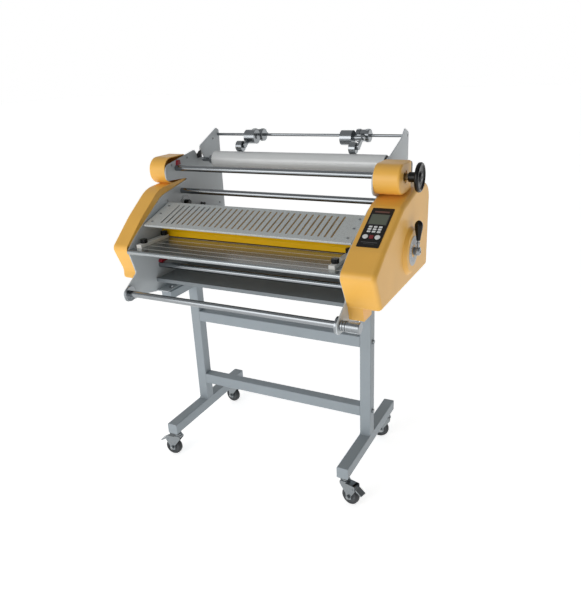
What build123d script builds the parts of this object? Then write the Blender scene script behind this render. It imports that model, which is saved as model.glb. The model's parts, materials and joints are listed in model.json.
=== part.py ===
"""Roll laminator on a wheeled stand: CAD of every separate piece.

Millimetres, +Z up. The origin is on the floor, midway between the two side plates (x = 0)
and at the depth of the stand's posts (y = 0). The operator stands at -Y.
"""
import os
from math import cos, radians, sin

from build123d import *

os.makedirs("parts", exist_ok=True)

# ---- driving dimensions -------------------------------------------------------------------
FIT = 0.06                # radial clearance of a shaft that turns in a hole
GAP = 0.3                 # air between bodies that pass each other

# stand
TUBE = 40                 # square tube of the stand
POST = 39.2               # the posts are a little slimmer, so their welds show
WALL = 2
TUBE_CORNER = 3
POST_X = 343              # centre of each post, out from the middle
FOOT_BOTTOM = 105
FOOT_FRONT = -234
FOOT_REAR = 249
BAR_FRONT = -172          # top bar under the machine
BAR_REAR = 200
BAR_HEIGHT = 30
MACHINE_BOTTOM = 655      # top of the stand, underside of the machine
CROSSBAR_BOTTOMS = (217, 483)
MACHINE_BOLT_YS = (-140, 160)

# casters
WHEEL_R = 31.5
WHEEL_WIDTH = 22
TRAIL = 22                # wheel axle behind the swivel axis
KING_R = 5
HEAD_TOP = 91.7
PIVOT_OUT = TRAIL + 17    # brake pedal's pivot, out from the swivel axis
PIVOT_UP = 66
CASTERS = {               # swivel axis x, y and the way the wheel trails at rest, in degrees
    "fl": (-POST_X, -206, 185),
    "fr": (POST_X, -206, -15),
    "rl": (-POST_X, 221, 170),
    "rr": (POST_X, 221, 200),
}
BRAKED = ("fl", "fr")

# side plates and covers
PLATE_X = 376             # inner face of each side plate
PLATE_T = 4
COVER_IN = PLATE_X + PLATE_T
COVER_OUT = 482
LEFT_COVER_OUT = 444      # the left cover hides no motor and is narrower
COVER_T = 3
COVER_ROUND = 14
SLOPE_TOP = (-80, 981)    # straight part of the covers that carries the control panel
SLOPE_END = (-246, 892)
COVER_BOTTOM = 725
TAB_X = 426
TAB_BOTTOM = 684
MOUND = (-2, 832)         # centre of the raised round housing of the pressure lever
MOUND_OUT = COVER_OUT + 11

# axes along X, as (y, z)
ROD = (288, 1140)         # slitter rod
ROD_R = 5
TENSION = (4, 1055)
IDLER = (23, 972)
SUPPLY = (-146, 744)
REWIND = (-319, 693)
FILM = (180, 1061)
SHAFT_R = 10
PIN_R = 6
REWIND_R = 10.5
GAP_KNOB = (38, 926)
FILM_R = 31
FILM_LEFT = -322
FILM_RIGHT = 342
CORE_R = 19
MANDREL_R = 8
TABLE_TOP = 837
NIP_Y = -36
NIP_R = 38
PULL_Y = 170
PULL_R = 24
JOURNAL_R = 12
ROLLER_HALF = 345

# guard, hinged near its rear edge
GUARD_REAR = (-67, 948)
GUARD_FRONT = (-212, 901)
GUARD_HALF = 371
GUARD_T = 2
GUARD_PIVOT = (-72, 940)
SLOTS = 30
SLOT_PITCH = 21.2
SLOT_SHIFT = -6
STRIP_Y = -114            # fixed yellow strip before the nip

# slitters: x of the clamp, the weight and the wheel
SLITTERS = {"left": (-192, -194, -219), "right": (224, 184, 221)}
WEIGHT = (238, 1138)
WEIGHT_R = 25
BLADE = (195, 1109.2)
BLADE_R = 19

# control panel, along X and up the slope
PANEL_X = 426
PANEL_W = 66
PANEL_L = 164
PANEL_UP = 4              # middle of the panel above the middle of the slope
KEY_DROP = 41             # large keys below the panel's middle
SLOPE_PLANE = Plane(
    origin=(PANEL_X, (SLOPE_TOP[0] + SLOPE_END[0]) / 2, (SLOPE_TOP[1] + SLOPE_END[1]) / 2),
    x_dir=(1, 0, 0),
    z_dir=(0, SLOPE_END[1] - SLOPE_TOP[1], SLOPE_TOP[0] - SLOPE_END[0]),
)
PANEL_PLANE = Plane(
    origin=SLOPE_PLANE.origin + SLOPE_PLANE.y_dir * PANEL_UP,
    x_dir=(1, 0, 0),
    z_dir=SLOPE_PLANE.z_dir,
)

# paper guides: x of the bar, y of its thumb screws
GUIDES = {"left": -355, "right": 334}
GUIDE_FRONT = -268
GUIDE_REAR = -119
GUIDE_W = 20
GUIDE_TOP = TABLE_TOP + 11
KNOB_YS = {"front": -240, "rear": -131}
KNOB_R = 12


# ---- helpers ------------------------------------------------------------------------------
def save(builder, label):
    """Label the finished piece and write its STEP file."""
    builder.part.label = label
    export_step(builder.part, f"parts/{label}.step")


def block(low, high, mode=Mode.ADD):
    """Add or cut a box between two corners."""
    with Locations(tuple((a + b) / 2 for a, b in zip(low, high))):
        Box(*[b - a for a, b in zip(low, high)], mode=mode)


def bar_x(radius, x_from, x_to, axis, mode=Mode.ADD):
    """Add or cut a round length along X."""
    with Locations(Location(((x_from + x_to) / 2, axis[0], axis[1]), (0, 90, 0))):
        Cylinder(radius, abs(x_to - x_from), mode=mode)


def bar_y(radius, y_from, y_to, x, z, mode=Mode.ADD):
    """Add or cut a round length along Y."""
    with Locations(Location((x, (y_from + y_to) / 2, z), (90, 0, 0))):
        Cylinder(radius, abs(y_to - y_from), mode=mode)


def bar_z(radius, z_from, z_to, x, y, mode=Mode.ADD):
    """Add or cut a round length along Z."""
    with Locations((x, y, (z_from + z_to) / 2)):
        Cylinder(radius, abs(z_to - z_from), mode=mode)


def hexagon(radius, z_from, height, x, y):
    """Add a bolt head or nut standing on z_from."""
    with BuildSketch(Plane(origin=(x, y, z_from))) as face:
        RegularPolygon(radius, 6)
    extrude(face.sketch, amount=height)


def side_view(corners, plane, inset=0):
    """A closed face on a plane, from corners given as (along, up, corner radius)."""
    with BuildSketch(plane) as face:
        with BuildLine():
            FilletPolyline(*[c[:2] for c in corners], radius=[c[2] for c in corners], close=True)
        make_face()
        if inset:
            offset(amount=-inset)
    return face.sketch


def outline(corners, x, inset=0):
    """A closed side-view face at x, from corners given as (y, z, corner radius)."""
    return side_view(corners, Plane.YZ.offset(x), inset)


def upright(x, y, z):
    """A plane at a point, facing the operator, with X to the right and Z up."""
    return Plane(origin=(x, y, z), x_dir=(1, 0, 0), z_dir=(0, -1, 0))


def tube_frame(tubes):
    """Add rectangular tubes with closed ends, each a (plane, length, width, height)."""
    for plane, length, width, height in tubes:
        with BuildSketch(plane) as outer:
            RectangleRounded(width, height, TUBE_CORNER)
        extrude(outer.sketch, amount=length)
    for plane, length, width, height in tubes:
        with BuildSketch(plane.offset(WALL)) as inner:
            RectangleRounded(width - 2 * WALL, height - 2 * WALL, TUBE_CORNER - WALL)
        extrude(inner.sketch, amount=length - 2 * WALL, mode=Mode.SUBTRACT)


# ---- stand --------------------------------------------------------------------------------
post_foot = FOOT_BOTTOM + TUBE
bar_bottom = MACHINE_BOTTOM - BAR_HEIGHT

with BuildPart() as leg_frames:
    for x in (-POST_X, POST_X):
        post = Plane(origin=(x, 0, post_foot - TUBE_CORNER))
        foot = upright(x, FOOT_REAR, FOOT_BOTTOM + TUBE / 2)
        top = upright(x, BAR_REAR, MACHINE_BOTTOM - BAR_HEIGHT / 2)
        tube_frame([
            (post, bar_bottom - post_foot + 2 * TUBE_CORNER, POST, POST),
            (foot, FOOT_REAR - FOOT_FRONT, TUBE, TUBE),
            (top, BAR_REAR - BAR_FRONT, TUBE, BAR_HEIGHT),
        ])
    for x in (-POST_X, POST_X):
        for bottom in CROSSBAR_BOTTOMS:
            bar_x(4.2, x - 25, x + 25, (0, bottom + TUBE / 2), Mode.SUBTRACT)
        for y in MACHINE_BOLT_YS:
            bar_z(4.2, bar_bottom - 1, MACHINE_BOTTOM + 1, x, y, Mode.SUBTRACT)
    for x, y, _ in CASTERS.values():
        bar_z(KING_R + 0.2, FOOT_BOTTOM - 1, FOOT_BOTTOM + WALL + 1, x, y, Mode.SUBTRACT)
save(leg_frames, "leg_frames")

crossbar_half = POST_X - POST / 2
with BuildPart() as crossbars:
    tube_frame([
        (Plane(origin=(-crossbar_half, 0, bottom + TUBE / 2), x_dir=(0, 1, 0), z_dir=(1, 0, 0)),
         2 * crossbar_half, TUBE - 1.6, TUBE)
        for bottom in CROSSBAR_BOTTOMS
    ])
    for bottom in CROSSBAR_BOTTOMS:
        middle = (0, bottom + TUBE / 2)
        for side in (-1, 1):
            bar_x(4.2, side * (crossbar_half - 5), side * (crossbar_half + 1), middle, Mode.SUBTRACT)
save(crossbars, "crossbars")

with BuildPart() as stand_fasteners:
    for side in (-1, 1):
        face = side * (POST_X + POST / 2)
        for bottom in CROSSBAR_BOTTOMS:
            middle = (0, bottom + TUBE / 2)
            bar_x(4, side * (crossbar_half - 20), face, middle)
            bar_x(9, face, face + side * 1.5, middle)
            bar_x(7, face + side * 1.5, face + side * 6, middle)
            bar_x(6.5, side * (crossbar_half - 9), side * (crossbar_half - WALL - 0.1), middle)
        for y in MACHINE_BOLT_YS:
            flange_top = MACHINE_BOTTOM + PLATE_T
            bar_z(4, bar_bottom - 12, flange_top, side * POST_X, y)
            bar_z(9, flange_top, flange_top + 1.6, side * POST_X, y)
            hexagon(7.5, flange_top + 1.6, 5.5, side * POST_X, y)
            hexagon(7.5, bar_bottom - 7, 6.9, side * POST_X, y)
    for x, y, _ in CASTERS.values():
        bar_z(KING_R, HEAD_TOP - 8, FOOT_BOTTOM + WALL + 9, x, y)
        bar_z(10, HEAD_TOP + GAP, FOOT_BOTTOM, x, y)
        hexagon(9, FOOT_BOTTOM + WALL + 0.1, 7, x, y)
save(stand_fasteners, "stand_fasteners")


# ---- casters ------------------------------------------------------------------------------
cheek_in = WHEEL_WIDTH / 2 + 2
cheek_out = cheek_in + 2


def caster_plane(name):
    """The caster's own frame: swivel axis at the origin, wheel trailing along local X."""
    x, y, angle = CASTERS[name]
    return Plane(origin=(x, y, 0), x_dir=(cos(radians(angle)), sin(radians(angle)), 0))


def beside(base, offset):
    """An upright plane of the caster, across its axle, that faces local -Y."""
    return Plane(origin=base.origin + base.y_dir * offset, x_dir=base.x_dir, z_dir=-base.y_dir)


def cheek_corners(braked):
    """Side view of a fork cheek, as (x, z, corner radius)."""
    heel = PIVOT_OUT + 8 if braked else TRAIL + 13
    return [(-14, 80, 0), (heel, 80, 3), (heel, 60 if braked else 70, 5), (TRAIL + 11, 38, 4),
            (TRAIL + 11, 20.5, 8), (TRAIL - 11, 20.5, 8), (TRAIL - 11, 40, 10), (-14, 72, 4)]


for name in CASTERS:
    braked = name in BRAKED
    with BuildPart(caster_plane(name)) as fork:
        for start in (-cheek_in, cheek_out):
            extrude(side_view(cheek_corners(braked), beside(caster_plane(name), start)), amount=2)
        block((-14, -cheek_out, 77), (TRAIL + 13, cheek_out, 80))
        bar_z(17, 80, 85, 0, 0)
        bar_z(14, 85, HEAD_TOP, 0, 0)
        bar_z(KING_R + FIT, HEAD_TOP - 9, HEAD_TOP + 1, 0, 0, Mode.SUBTRACT)
        bar_y(4, -cheek_out - 4, cheek_out + 4, TRAIL, WHEEL_R)
        for side in (-1, 1):
            bar_y(7, side * cheek_out, side * (cheek_out + 4), TRAIL, WHEEL_R)
        if braked:
            bar_y(2.5, -cheek_out - 1, cheek_out + 1, PIVOT_OUT, PIVOT_UP)
    save(fork, f"caster_fork_{name}")

    with BuildPart(caster_plane(name)) as wheel:
        bar_y(WHEEL_R, -WHEEL_WIDTH / 2, WHEEL_WIDTH / 2, TRAIL, WHEEL_R)
        fillet(wheel.edges().filter_by(GeomType.CIRCLE), radius=4)
        for side in (-1, 1):
            bar_y(22, side * (WHEEL_WIDTH / 2 - 2.5), side * WHEEL_WIDTH, TRAIL, WHEEL_R, Mode.SUBTRACT)
            bar_y(9, side * (WHEEL_WIDTH / 2 - 2.5), side * WHEEL_WIDTH / 2, TRAIL, WHEEL_R)
        bar_y(4 + FIT, -WHEEL_WIDTH, WHEEL_WIDTH, TRAIL, WHEEL_R, Mode.SUBTRACT)
    save(wheel, f"caster_wheel_{name}")

for name in BRAKED:
    with BuildPart(caster_plane(name)) as pedal:
        bar_y(5, -cheek_in + 1, cheek_in - 1, PIVOT_OUT, PIVOT_UP)
        arm = [(PIVOT_OUT, 71, 0), (PIVOT_OUT + 12, 69, 4), (PIVOT_OUT + 34, 55, 1.5),
               (PIVOT_OUT + 33, 51, 1), (PIVOT_OUT + 10, 63, 3), (PIVOT_OUT + 1, 64, 0)]
        tread = side_view(arm, beside(caster_plane(name), cheek_in - 1))
        extrude(tread, amount=2 * (cheek_in - 1))
        bar_y(2.5 + FIT, -cheek_out, cheek_out, PIVOT_OUT, PIVOT_UP, Mode.SUBTRACT)
    save(pedal, f"caster_pedal_{name}")


# ---- side plates --------------------------------------------------------------------------
PLATE_FOOT = [
    (297, MACHINE_BOTTOM, 4), (-185, MACHINE_BOTTOM, 20), (-232, 664, 40), (-341, 668, 20),
    (-347, 703, 18), (-272, 750, 10),
]
PLATE_CORNERS = {
    "left": PLATE_FOOT + [
        (-298, 835, 16), (-250, 874, 60), (-94, 975, 100), (79, 1010, 3), (-57, 1019, 16),
        (-60, 1070, 28), (124, 1103, 12), (143, 1080, 3), (158, 1072, 3), (163, 1112, 8),
        (281, 1165, 8), (297, 1156, 5),
    ],
    "right": PLATE_FOOT + [
        (-317, 835, 20), (-248, 886, 60), (-92, 970, 60), (-5, 994, 5), (-58, 1008, 30),
        (-60, 1070, 28), (110, 1100, 90), (222, 1139, 60), (258, 1168, 9), (297, 1152, 8),
    ],
}
NOTCH_L = 66              # open slot that the mandrel drops through, leaning forward
NOTCH_TILT = 37.5
roller_axes = {
    "lower_laminating_roller": (NIP_Y, TABLE_TOP - NIP_R, NIP_R),
    "upper_laminating_roller": (NIP_Y, TABLE_TOP + NIP_R + 0.6, NIP_R),
    "lower_pull_roller": (PULL_Y, TABLE_TOP - PULL_R, PULL_R),
    "upper_pull_roller": (PULL_Y, TABLE_TOP + PULL_R + 0.6, PULL_R),
}


for side, hand in ((-1, "left"), (1, "right")):
    inner = side * PLATE_X
    low, high = sorted((inner - side, inner + side * (PLATE_T + 1)))
    with BuildPart() as plate:
        extrude(outline(PLATE_CORNERS[hand], inner), amount=side * PLATE_T)
        flange = sorted((inner, inner - side * 45))
        block((flange[0], -180, MACHINE_BOTTOM), (flange[1], 215, MACHINE_BOTTOM + PLATE_T))
        with BuildSketch(Plane.YZ.offset(low)) as notch:
            with Locations((FILM[0], FILM[1])):
                Circle(MANDREL_R + GAP)
            if side < 0:
                with Locations(Location((FILM[0] - NOTCH_L / 2 * sin(radians(NOTCH_TILT)),
                                         FILM[1] + NOTCH_L / 2 * cos(radians(NOTCH_TILT)), 0),
                                        NOTCH_TILT)):
                    Rectangle(2 * (MANDREL_R + GAP), NOTCH_L)
        extrude(notch.sketch, amount=high - low, mode=Mode.SUBTRACT)
        for axis in (IDLER, SUPPLY, TENSION):
            bar_x(PIN_R + FIT, low, high, axis, Mode.SUBTRACT)
        bar_x(ROD_R + FIT, low, high, ROD, Mode.SUBTRACT)
        bar_x(4 + FIT, low, high, GUARD_PIVOT, Mode.SUBTRACT)
        bar_x((REWIND_R if side > 0 else PIN_R) + FIT, low, high, REWIND, Mode.SUBTRACT)
        if side < 0:
            bar_x(4 + FIT, low, high, GAP_KNOB, Mode.SUBTRACT)
        if side > 0:
            bar_x(SHAFT_R + FIT, low, high, TENSION, Mode.SUBTRACT)
            bar_x(8 + FIT, low, high, MOUND, Mode.SUBTRACT)
        for y, z, _ in roller_axes.values():
            bar_x(JOURNAL_R + 2, low, high, (y, z), Mode.SUBTRACT)
        for y in MACHINE_BOLT_YS:
            bar_z(4.2, MACHINE_BOTTOM - 1, MACHINE_BOTTOM + PLATE_T + 1, side * POST_X, y, Mode.SUBTRACT)
    save(plate, f"{hand}_side_plate")


# ---- covers -------------------------------------------------------------------------------
COVERS = {                # side, outer face, side view
    "left": (-1, LEFT_COVER_OUT, [
        (206, COVER_BOTTOM, 16), (212, 1014, 57), (60, 1013, 200), (-100, 1000, 120),
        (-205, 926, 300), (-304, 841, 22), (-266, 753, 40), (-270, COVER_BOTTOM, 8),
    ]),
    "right": (1, COVER_OUT, [
        (206, COVER_BOTTOM, 16), (212, 1014, 57), (60, 1012, 250), (*SLOPE_TOP, 60),
        (*SLOPE_END, 60), (-325, 840, 22), (-272, 742, 60), (-266, COVER_BOTTOM, 16),
    ]),
}

for hand, (side, cover_out, corners) in COVERS.items():
    with BuildPart() as cover:
        extrude(outline(corners, side * COVER_IN), amount=side * (cover_out - COVER_IN))
        rim = cover.faces().sort_by(Axis.X)[-1 if side > 0 else 0]
        fillet(rim.edges(), radius=COVER_ROUND)
        if side > 0:
            with BuildSketch(Plane.YZ.offset(COVER_OUT)) as mound:
                with Locations(MOUND):
                    Circle(76)
            extrude(mound.sketch, amount=MOUND_OUT - COVER_OUT, taper=45)
            top = cover.faces().sort_by(Axis.X)[-1]
            fillet(top.edges(), radius=5)
            tab = [(-270, 746, 0), (-252, TAB_BOTTOM, 3), (-190, TAB_BOTTOM, 3), (-190, 746, 0)]
            extrude(outline(tab, COVER_IN), amount=TAB_X - COVER_IN)
        for inset, reach in ((COVER_T, cover_out - COVER_ROUND), (COVER_ROUND, cover_out - COVER_T)):
            hollow = outline(corners, side * (COVER_IN - 1), inset)
            extrude(hollow, amount=side * (reach - COVER_IN + 1), mode=Mode.SUBTRACT)
        if side > 0:
            bar_x(8 + FIT, COVER_IN, MOUND_OUT + 1, MOUND, Mode.SUBTRACT)
            with BuildSketch(PANEL_PLANE) as window:
                Rectangle(PANEL_W - 6 + 0.4, PANEL_L - 6 + 0.4)
            extrude(window.sketch, amount=20, both=True, mode=Mode.SUBTRACT)
    save(cover, f"{hand}_cover")

# Boss covers: the yellow caps over the ends of the tension shaft, resting on the covers.
BOSS_OUT = {"left": 447, "right": 460}
BOSS_CORNERS = [(67, 1000, 4), (67, 1096, 8), (-59, 1096, 44), (-59, 1007, 44)]
boss_end = BOSS_OUT["right"]

with BuildPart() as boss_covers:
    for hand, (side, _, corners) in COVERS.items():
        depth = BOSS_OUT[hand] - COVER_IN
        extrude(outline(BOSS_CORNERS, side * COVER_IN), amount=side * depth)
        cap = boss_covers.faces().sort_by(Axis.X)[-1 if side > 0 else 0]
        fillet(cap.edges(), radius=6)
        hollow = outline(BOSS_CORNERS, side * (COVER_IN - 1), COVER_T)
        extrude(hollow, amount=side * (depth - 6), mode=Mode.SUBTRACT)
        cover_top = [(y, z + GAP, r) for y, z, r in corners]
        extrude(outline(cover_top, side * (COVER_IN - 1)), amount=side * 110, mode=Mode.SUBTRACT)
    bar_x(20, boss_end - 2.5, boss_end + 1, TENSION, Mode.SUBTRACT)
    bar_x(14, boss_end - 20, boss_end + 1, TENSION, Mode.SUBTRACT)
save(boss_covers, "boss_covers")


# ---- fixed pieces between the plates -------------------------------------------------------
with BuildPart() as feed_table:
    lip = [(-62, TABLE_TOP, 0), (-304.5, TABLE_TOP, 6.4), (-304.5, TABLE_TOP - 14, 6.4),
           (-290, TABLE_TOP - 14, 1), (-288, TABLE_TOP - 4, 2), (-62, TABLE_TOP - 4, 0)]
    extrude(outline(lip, -PLATE_X), amount=2 * PLATE_X)
    for y in range(-270, -110, 38):
        block((-PLATE_X, y, TABLE_TOP - 0.8), (PLATE_X, y + 2, TABLE_TOP + 1), Mode.SUBTRACT)
save(feed_table, "feed_table")

TRAY_TOP = 699
with BuildPart() as bottom_tray:
    block((-PLATE_X, -172, TRAY_TOP - 3), (PLATE_X, 284, TRAY_TOP))
    lip = [(-175, TRAY_TOP + 2, 1), (-175, TRAY_TOP - 11, 1), (-171, TRAY_TOP - 11, 1),
           (-171, TRAY_TOP + 2, 1)]
    extrude(outline(lip, -PLATE_X), amount=2 * PLATE_X)
save(bottom_tray, "bottom_tray")

REAR_Y = 284
SHELF_FRONT = 204         # the panel folds forward over the top into a shelf
VENT_XS = (-220, 60)
INLET = (295, 745)        # x, z of the power inlet
with BuildPart() as rear_panel:
    block((-PLATE_X, REAR_Y, TRAY_TOP - 3), (PLATE_X, REAR_Y + 2, TABLE_TOP))
    block((-PLATE_X, SHELF_FRONT, TABLE_TOP - 2), (PLATE_X, REAR_Y + 2, TABLE_TOP))
    block((-PLATE_X, SHELF_FRONT, TABLE_TOP - 10), (PLATE_X, SHELF_FRONT + 2, TABLE_TOP))
    with BuildSketch(Plane.XZ.offset(-REAR_Y - 3)) as vents:
        for x in VENT_XS:
            with Locations((x, 768)):
                with GridLocations(12, 0, 12, 1):
                    SlotOverall(50, 4, rotation=90)
        with Locations(INLET):
            Rectangle(29, 22)
    extrude(vents.sketch, amount=5, mode=Mode.SUBTRACT)
save(rear_panel, "rear_panel")

with BuildPart() as power_inlet:
    x0, z0 = INLET
    block((x0 - 24, REAR_Y + 2, z0 - 14), (x0 + 24, REAR_Y + 4.5, z0 + 14))
    block((x0 - 14, REAR_Y - 18, z0 - 10.5), (x0 + 14, REAR_Y + 2, z0 + 10.5))
    block((x0 - 12, REAR_Y - 14, z0 - 8.5), (x0 + 12, REAR_Y + 5, z0 + 8.5), Mode.SUBTRACT)
    for x in (x0 - 7, x0, x0 + 7):
        block((x - 1, REAR_Y - 15, z0 - 3), (x + 1, REAR_Y + 1, z0 + 3))
    for x in (x0 - 20, x0 + 20):
        bar_y(3, REAR_Y + 4.5, REAR_Y + 6, x, z0)
save(power_inlet, "power_inlet")

with BuildPart() as slitter_rod:
    bar_x(ROD_R, -PLATE_X - PLATE_T - 1, PLATE_X + PLATE_T + 1, ROD)
    chamfer(slitter_rod.edges().filter_by(GeomType.CIRCLE), 0.8)
save(slitter_rod, "slitter_rod")

BLOCK_HALF = {NIP_R: 23, PULL_R: 22}
HOUSING_OUT = 452

# Bearings outside the plates: one block for each roller end, and the tension shaft's housing.
with BuildPart() as bearing_blocks:
    for side in (-1, 1):
        for y, z, radius in roller_axes.values():
            half = BLOCK_HALF[radius]
            inner, outer = side * COVER_IN, side * (COVER_IN + 12)
            block((min(inner, outer), y - half, z - half), (max(inner, outer), y + half, z + half))
            bar_x(18, outer, outer + side * 3, (y, z))
            bar_x(JOURNAL_R + FIT, inner - side, outer + side * 4, (y, z), Mode.SUBTRACT)
    housing = [(67.3, 1017, 0), (67.3, 1088, 0), (104, 1088, 14), (104, 1017, 14)]
    extrude(outline(housing, COVER_IN), amount=HOUSING_OUT - COVER_IN)
save(bearing_blocks, "bearing_blocks")

MOTOR = (100, 772)        # axis of the gearmotor, which stands off the right plate on four studs
GEARBOX = (396, 432)      # its inner and outer faces

with BuildPart() as drive_motor:
    for y in (MOTOR[0] - 34, MOTOR[0] + 34):
        for z in (MOTOR[1] - 21, MOTOR[1] + 22):
            bar_x(4, COVER_IN, GEARBOX[0], (y, z))
    block((GEARBOX[0], MOTOR[0] - 42, MOTOR[1] - 29), (GEARBOX[1], MOTOR[0] + 42, MOTOR[1] + 30))
    fillet(drive_motor.edges().filter_by(Axis.X).group_by(SortBy.LENGTH)[-1], radius=4)
    bar_x(27, GEARBOX[1], GEARBOX[1] + 40, MOTOR)
    bar_x(6, GEARBOX[0] - 12, GEARBOX[0], MOTOR)
save(drive_motor, "drive_motor")

with BuildPart() as shaft_latches:
    clip = [(4, 1065.4, 0), (22, 1065.4, 2), (20, 1082, 4), (7, 1082, 4)]
    extrude(outline(clip, -PLATE_X), amount=9)
    catch = [(-156, 754.4, 1), (-118, 754.4, 1), (-122, 764, 3), (-150, 764, 3)]
    extrude(outline(catch, -PLATE_X), amount=14)
save(shaft_latches, "shaft_latches")

# Two printed grey dials: round the pressure lever and round the gap knob.
with BuildPart() as dials:
    bar_x(46, MOUND_OUT, MOUND_OUT + 1, MOUND)
    bar_x(20, MOUND_OUT - 1, MOUND_OUT + 2, MOUND, Mode.SUBTRACT)
    bar_x(27, -PLATE_X, -PLATE_X + 1, GAP_KNOB)
    bar_x(6, -PLATE_X - 1, -PLATE_X + 2, GAP_KNOB, Mode.SUBTRACT)
save(dials, "dials")


# ---- control panel ------------------------------------------------------------------------
key_faces = {"reverse_key": -18, "stop_key": 0, "forward_key": 18}


def key_outline(label, plane, margin=0):
    """Face of one large key: two round ones and a square one between them."""
    with BuildSketch(plane) as face:
        with Locations((key_faces[label], -KEY_DROP)):
            if label == "stop_key":
                RectangleRounded(12 + 2 * margin, 13 + 2 * margin, 2)
            else:
                Circle(8 + margin)
    return face.sketch


with BuildPart() as control_panel:
    with BuildSketch(PANEL_PLANE) as face:
        RectangleRounded(PANEL_W, PANEL_L, 3)
    extrude(face.sketch, amount=1.6)
    with BuildSketch(PANEL_PLANE) as back:
        Rectangle(PANEL_W - 6, PANEL_L - 6)
    extrude(back.sketch, amount=-9)
    fillet(control_panel.faces().filter_by(PANEL_PLANE).sort_by(Axis.Z)[-1].edges(), radius=0.5)
    for label in key_faces:
        extrude(key_outline(label, PANEL_PLANE.offset(-7), GAP), amount=12, mode=Mode.SUBTRACT)
    with BuildSketch(PANEL_PLANE.offset(0.8)) as glass:
        with Locations((0, 33)):
            Rectangle(52.2, 42.2)
    extrude(glass.sketch, amount=2, mode=Mode.SUBTRACT)
save(control_panel, "control_panel")

with BuildPart() as display_window:
    with BuildSketch(PANEL_PLANE.offset(0.8)) as glass:
        with Locations((0, 33)):
            Rectangle(52, 42)
    extrude(glass.sketch, amount=1)
save(display_window, "display_window")

with BuildPart() as keypad:
    with BuildSketch(PANEL_PLANE.offset(1.6)) as keys:
        with Locations((0, -9.5)):
            with GridLocations(15, 10, 3, 3):
                RectangleRounded(10.5, 6.5, 1.5)
    extrude(keys.sketch, amount=0.8)
save(keypad, "keypad")

for label in key_faces:
    with BuildPart() as key:
        extrude(key_outline(label, PANEL_PLANE.offset(-5)), amount=8.4)
        fillet(key.faces().filter_by(PANEL_PLANE).sort_by(Axis.Z)[-1].edges(), radius=0.8)
    save(key, label)


# ---- pressure lever and gap knob -----------------------------------------------------------
LEVER_X = 507
with BuildPart() as pressure_lever:
    bar_x(8, PLATE_X - 3, MOUND_OUT + 2, MOUND)
    bar_x(13, MOUND_OUT + 1.3, 514, MOUND)
    fillet(pressure_lever.faces().sort_by(Axis.X)[-1].edges(), radius=2)
    bar_z(4, MOUND[1], MOUND[1] + 40, LEVER_X, MOUND[0])
    with BuildSketch(Plane.XZ.offset(-MOUND[0])) as grip:
        with BuildLine():
            foot = MOUND[1] + 34
            Polyline((LEVER_X, foot + 62), (LEVER_X, foot), (LEVER_X + 6, foot))
            Spline((LEVER_X + 6, foot), (LEVER_X + 9, foot + 20), (LEVER_X + 12.5, foot + 44),
                   (LEVER_X, foot + 62), tangents=((0.4, 1), (-1, 0)))
        make_face()
    revolve(grip.sketch, axis=Axis((LEVER_X, MOUND[0], 0), (0, 0, 1)))
save(pressure_lever, "pressure_lever")

with BuildPart() as gap_knob:
    bar_x(11, -PLATE_X + 1 + GAP, -PLATE_X + 20, GAP_KNOB)
    fillet(gap_knob.faces().sort_by(Axis.X)[-1].edges(), radius=2)
    bar_x(4, -PLATE_X - 3, -PLATE_X + 2, GAP_KNOB)
save(gap_knob, "gap_knob")


# ---- guard --------------------------------------------------------------------------------
guard_run = (GUARD_REAR[0] - GUARD_FRONT[0], GUARD_REAR[1] - GUARD_FRONT[1])
guard_length = (guard_run[0] ** 2 + guard_run[1] ** 2) ** 0.5
along = (guard_run[0] / guard_length, guard_run[1] / guard_length)
GUARD_PLANE = Plane(
    origin=(0, (GUARD_REAR[0] + GUARD_FRONT[0]) / 2, (GUARD_REAR[1] + GUARD_FRONT[1]) / 2),
    x_dir=(1, 0, 0),
    z_dir=(0, -along[1], along[0]),
)


def guard_point(up_slope, depth):
    """A side-view point on the guard: distance from its middle up the slope, and below it."""
    centre = GUARD_PLANE.origin
    return (centre.Y + along[0] * up_slope + along[1] * depth,
            centre.Z + along[1] * up_slope - along[0] * depth)


half_length = guard_length / 2
with BuildPart() as slotted_guard:
    bend = [(half_length, 0, 0), (-half_length, 0, 2.5), (-half_length, 6, 0), (2 - half_length, 6, 0),
            (2 - half_length, 2, 0.5), (half_length, 2, 0)]
    section = [(*guard_point(s, d), r) for s, d, r in bend]
    extrude(outline(section, -GUARD_HALF), amount=2 * GUARD_HALF)
    with BuildSketch(GUARD_PLANE.offset(1)) as slots:
        with Locations((SLOT_SHIFT, 4)):
            with GridLocations(SLOT_PITCH, 0, SLOTS, 1):
                SlotOverall(119, 6.6, rotation=90)
    extrude(slots.sketch, amount=-5, mode=Mode.SUBTRACT)
    for side in (-1, 1):
        cheek = [(*guard_point(half_length, 1), 2), (*guard_point(4 - half_length, 1), 2),
                 (-112, 873, 4), (-84, 873, 2)]
        outer = side * GUARD_HALF
        extrude(outline(cheek, outer), amount=-side * 2)
        bar_x(4, outer - side, side * (COVER_IN - 1), GUARD_PIVOT)
save(slotted_guard, "slotted_guard")

with BuildPart() as finger_strip:
    bottom = TABLE_TOP + 3
    strip = [(STRIP_Y, bottom, 0.8), (STRIP_Y, bottom + 16, 2), (STRIP_Y + 6, bottom + 26, 0.8),
             (STRIP_Y + 8.2, bottom + 25, 0.8), (STRIP_Y + 2.4, bottom + 15.4, 2),
             (STRIP_Y + 2.4, bottom, 0.8)]
    extrude(outline(strip, -PLATE_X), amount=2 * PLATE_X)
save(finger_strip, "finger_strip")


# ---- shafts and rollers -------------------------------------------------------------------
def idle_shaft(axis, radius):
    """Add a shaft with a turned-down pin at each end that runs in the side plates."""
    bar_x(radius, GAP - PLATE_X, PLATE_X - GAP, axis)
    bar_x(PIN_R, -COVER_IN + 0.5, COVER_IN - 0.5, axis)


with BuildPart() as idler_bar:
    idle_shaft(IDLER, SHAFT_R)
save(idler_bar, "idler_bar")

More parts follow.
